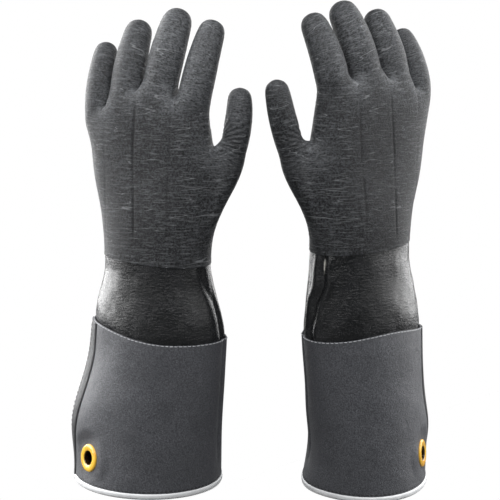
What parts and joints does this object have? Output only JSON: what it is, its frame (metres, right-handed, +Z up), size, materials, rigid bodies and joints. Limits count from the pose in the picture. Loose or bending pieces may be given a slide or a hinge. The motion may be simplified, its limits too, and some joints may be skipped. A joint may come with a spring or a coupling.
{
  "type": "cryogenic gloves",
  "caption": "Pair of elbow-high insulated neoprene gloves standing on flared gauntlets, with curled fingers, glossy wrists, white rims and a hanging eyelet near each rim.",
  "frame": {"origin": "centre of the pair's bounding box, on the surface that the rims stand on", "axes": "+Z up from the rims to the fingertips, +X from the left glove to the right glove, -Y towards the backs of the hands"},
  "size_m": [0.3158, 0.1308, 0.4216],
  "materials": {
    "rough_neoprene": "matt",
    "glossy_neoprene": "glossy",
    "coated_fabric": "satin",
    "cuff_lining": "matt",
    "knit_lining": "matt",
    "white_binding": "satin",
    "yellow_eyelet": "gloss",
    "light_thread": "matt",
    "dark_thread": "matt"
  },
  "bodies": {
    "left_glove": {"left_wrist_sleeve": "glossy_neoprene", "left_gauntlet": "coated_fabric", "left_gauntlet_lining": "cuff_lining", "left_rim_binding": "white_binding", "left_side_lap": "coated_fabric", "left_top_stitching": "light_thread", "left_lap_stitching": "dark_thread", "left_rim_stitching": "dark_thread", "left_eyelet": "yellow_eyelet", "left_eyelet_washer": "yellow_eyelet", "left_palm_shell": "rough_neoprene", "left_palm_lining": "knit_lining", "left_little_knuckle": "rough_neoprene", "left_ring_knuckle": "rough_neoprene", "left_middle_knuckle": "rough_neoprene", "left_index_knuckle": "rough_neoprene", "left_thumb_knuckle": "rough_neoprene"},
    "right_glove": {"right_wrist_sleeve": "glossy_neoprene", "right_gauntlet": "coated_fabric", "right_gauntlet_lining": "cuff_lining", "right_rim_binding": "white_binding", "right_side_lap": "coated_fabric", "right_top_stitching": "light_thread", "right_lap_stitching": "dark_thread", "right_rim_stitching": "dark_thread", "right_eyelet": "yellow_eyelet", "right_eyelet_washer": "yellow_eyelet", "right_palm_shell": "rough_neoprene", "right_palm_lining": "knit_lining", "right_little_knuckle": "rough_neoprene", "right_ring_knuckle": "rough_neoprene", "right_middle_knuckle": "rough_neoprene", "right_index_knuckle": "rough_neoprene", "right_thumb_knuckle": "rough_neoprene"},
    "left_little": {"left_little_stall": "rough_neoprene", "left_little_lining": "knit_lining"},
    "left_ring": {"left_ring_stall": "rough_neoprene", "left_ring_lining": "knit_lining"},
    "left_middle": {"left_middle_stall": "rough_neoprene", "left_middle_lining": "knit_lining"},
    "left_index": {"left_index_stall": "rough_neoprene", "left_index_lining": "knit_lining"},
    "left_thumb": {"left_thumb_stall": "rough_neoprene", "left_thumb_lining": "knit_lining"},
    "right_little": {"right_little_stall": "rough_neoprene", "right_little_lining": "knit_lining"},
    "right_ring": {"right_ring_stall": "rough_neoprene", "right_ring_lining": "knit_lining"},
    "right_middle": {"right_middle_stall": "rough_neoprene", "right_middle_lining": "knit_lining"},
    "right_index": {"right_index_stall": "rough_neoprene", "right_index_lining": "knit_lining"},
    "right_thumb": {"right_thumb_stall": "rough_neoprene", "right_thumb_lining": "knit_lining"}
  },
  "joints": [
    {"name": "right_glove_apart", "type": "slide", "parent": "left_glove", "child": "right_glove", "axis": [1, 0, 0], "range_m": [0, 0.2]},
    {"name": "left_little_flex", "type": "hinge", "parent": "left_glove", "child": "left_little", "pos_m": [-0.12938, 0.0138, 0.34565], "axis": [-0.9455, 0.3256, 0], "range_deg": [-8, 60], "stiffness_Nm_per_rad": 0.2, "deforming": ["left_little_knuckle"]},
    {"name": "left_ring_flex", "type": "hinge", "parent": "left_glove", "child": "left_ring", "pos_m": [-0.10271, 0.00481, 0.36155], "axis": [-0.9455, 0.3256, 0], "range_deg": [-8, 60], "stiffness_Nm_per_rad": 0.2, "deforming": ["left_ring_knuckle"]},
    {"name": "left_middle_flex", "type": "hinge", "parent": "left_glove", "child": "left_middle", "pos_m": [-0.07202, -0.00595, 0.36786], "axis": [-0.9455, 0.3256, 0], "range_deg": [-8, 60], "stiffness_Nm_per_rad": 0.2, "deforming": ["left_middle_knuckle"]},
    {"name": "left_index_flex", "type": "hinge", "parent": "left_glove", "child": "left_index", "pos_m": [-0.04321, -0.01606, 0.35731], "axis": [-0.9455, 0.3256, 0], "range_deg": [-8, 60], "stiffness_Nm_per_rad": 0.2, "deforming": ["left_index_knuckle"]},
    {"name": "left_thumb_flex", "type": "hinge", "parent": "left_glove", "child": "left_thumb", "pos_m": [-0.01213, -0.01823, 0.31406], "axis": [-0.9455, 0.3256, 0], "range_deg": [-8, 35], "stiffness_Nm_per_rad": 0.2, "deforming": ["left_thumb_knuckle"]},
    {"name": "right_little_flex", "type": "hinge", "parent": "right_glove", "child": "right_little", "pos_m": [0.14273, 0.02644, 0.36045], "axis": [-0.829, -0.5592, 0], "range_deg": [-8, 60], "stiffness_Nm_per_rad": 0.2, "deforming": ["right_little_knuckle"]},
    {"name": "right_ring_flex", "type": "hinge", "parent": "right_glove", "child": "right_ring", "pos_m": [0.11963, 0.01108, 0.37219], "axis": [-0.829, -0.5592, 0], "range_deg": [-8, 60], "stiffness_Nm_per_rad": 0.2, "deforming": ["right_ring_knuckle"]},
    {"name": "right_middle_flex", "type": "hinge", "parent": "right_glove", "child": "right_middle", "pos_m": [0.0917, -0.00798, 0.37744], "axis": [-0.829, -0.5592, 0], "range_deg": [-8, 60], "stiffness_Nm_per_rad": 0.2, "deforming": ["right_middle_knuckle"]},
    {"name": "right_index_flex", "type": "hinge", "parent": "right_glove", "child": "right_index", "pos_m": [0.06501, -0.02619, 0.37084], "axis": [-0.829, -0.5592, 0], "range_deg": [-8, 60], "stiffness_Nm_per_rad": 0.2, "deforming": ["right_index_knuckle"]},
    {"name": "right_thumb_flex", "type": "hinge", "parent": "right_glove", "child": "right_thumb", "pos_m": [0.03022, -0.03994, 0.31763], "axis": [-0.829, -0.5592, 0], "range_deg": [-8, 35], "stiffness_Nm_per_rad": 0.2, "deforming": ["right_thumb_knuckle"]}
  ]
}
